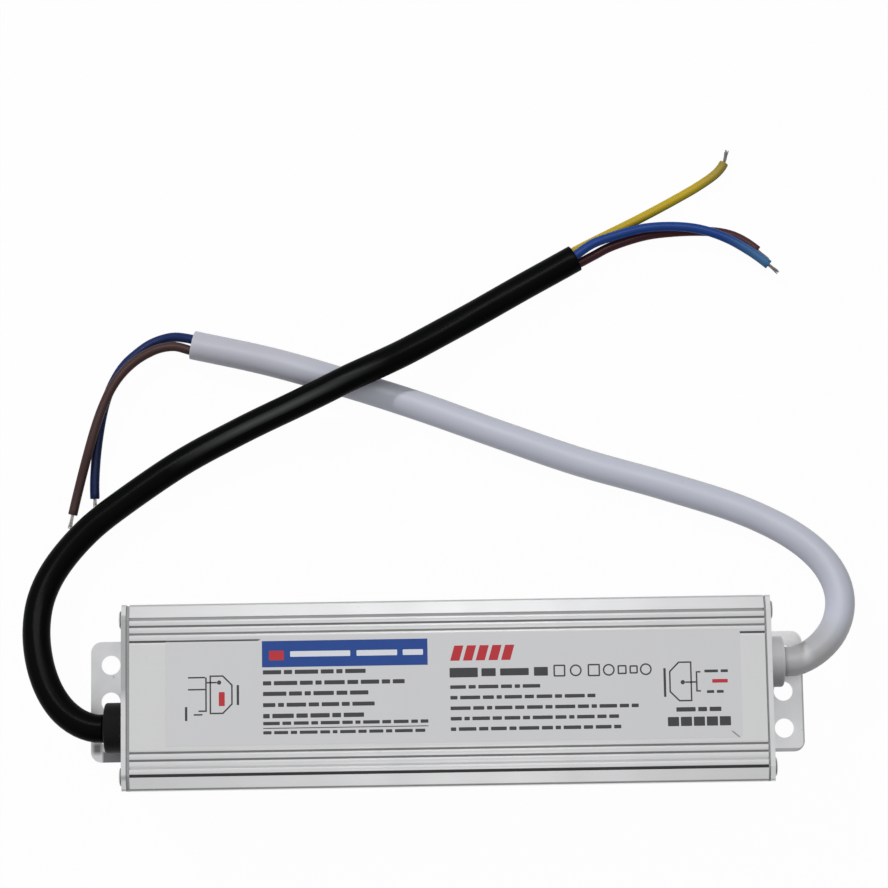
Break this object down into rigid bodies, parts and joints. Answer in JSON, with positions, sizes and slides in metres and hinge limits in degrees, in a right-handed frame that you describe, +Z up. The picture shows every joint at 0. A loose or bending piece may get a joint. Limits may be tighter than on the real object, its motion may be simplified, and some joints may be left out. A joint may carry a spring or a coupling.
{
  "type": "power supply",
  "caption": "Slim sealed power supply in a ribbed aluminium tube with folded end plates, mounting feet, a black mains lead and a pale output lead.",
  "frame": {"origin": "under the middle of the case, on the plane of its base and feet", "axes": "+X along the case from the mains end to the output end, +Y to the rear, where both leads lie, +Z up"},
  "size_m": [0.2165, 0.1686, 0.0291],
  "materials": {
    "housing_aluminium": "satin extruded, clear anodised",
    "plate_aluminium": "bright sheet",
    "gasket_rubber": "matt",
    "screw_steel": "nickel plated",
    "black_pvc": "soft satin sheath",
    "grey_pvc": "soft satin sheath",
    "black_moulding": "moulded satin",
    "grey_moulding": "moulded satin",
    "label_film": "satin silver film",
    "label_dark_ink": "dark print on the label",
    "label_blue_ink": "blue print on the label",
    "label_red_ink": "red print on the label",
    "label_white_ink": "pale print on the label",
    "brown_insulation": "smooth",
    "blue_insulation": "smooth",
    "earth_insulation": "smooth, yellow with a green stripe",
    "core_insulation": "smooth",
    "tinned_copper": "tinned strands",
    "board_laminate": "solder resist",
    "insulating_film": "matt",
    "black_epoxy": "moulded",
    "blue_epoxy": "dipped",
    "green_epoxy": "dipped",
    "yellow_case": "moulded box",
    "ferrite": "ground ferrite",
    "enamelled_wire": "enamelled",
    "winding_tape": "polyester tape",
    "capacitor_sleeve": "shrunk sleeve",
    "spreader_aluminium": "milled bar"
  },
  "bodies": {
    "root": {"housing": "housing_aluminium", "input_end_plate": "plate_aluminium", "output_end_plate": "plate_aluminium", "input_gasket": "gasket_rubber", "output_gasket": "gasket_rubber", "input_screws": "screw_steel", "output_screws": "screw_steel", "mains_strain_relief": "black_moulding", "output_strain_relief": "grey_moulding", "label": "label_film", "mains_lead_inside": "black_pvc", "output_lead_inside": "grey_pvc", "mains_inner_cores": "core_insulation", "output_inner_cores": "core_insulation", "circuit_board": "board_laminate", "insulating_sheet": "insulating_film", "fuse": "black_epoxy", "varistor": "blue_epoxy", "thermistor": "green_epoxy", "x_capacitor": "yellow_case", "choke_core": "ferrite", "choke_windings": "enamelled_wire", "bridge_rectifier": "black_epoxy", "bulk_capacitors": "capacitor_sleeve", "transformer_core": "ferrite", "transformer_bobbin": "black_epoxy", "transformer_winding": "winding_tape", "switching_transistor": "black_epoxy", "input_heat_spreader": "spreader_aluminium", "y_capacitor": "blue_epoxy", "control_chip": "black_epoxy", "optocoupler": "black_epoxy", "output_rectifier": "black_epoxy", "output_heat_spreader": "spreader_aluminium", "output_inductor_core": "ferrite", "output_inductor_winding": "enamelled_wire", "output_capacitors": "capacitor_sleeve", "mains_sheath": "black_pvc", "mains_live_core": "brown_insulation", "mains_neutral_core": "blue_insulation", "mains_earth_core": "earth_insulation", "output_sheath": "grey_pvc", "output_plus_core": "brown_insulation", "output_minus_core": "blue_insulation"}
  },
  "joints": []
}
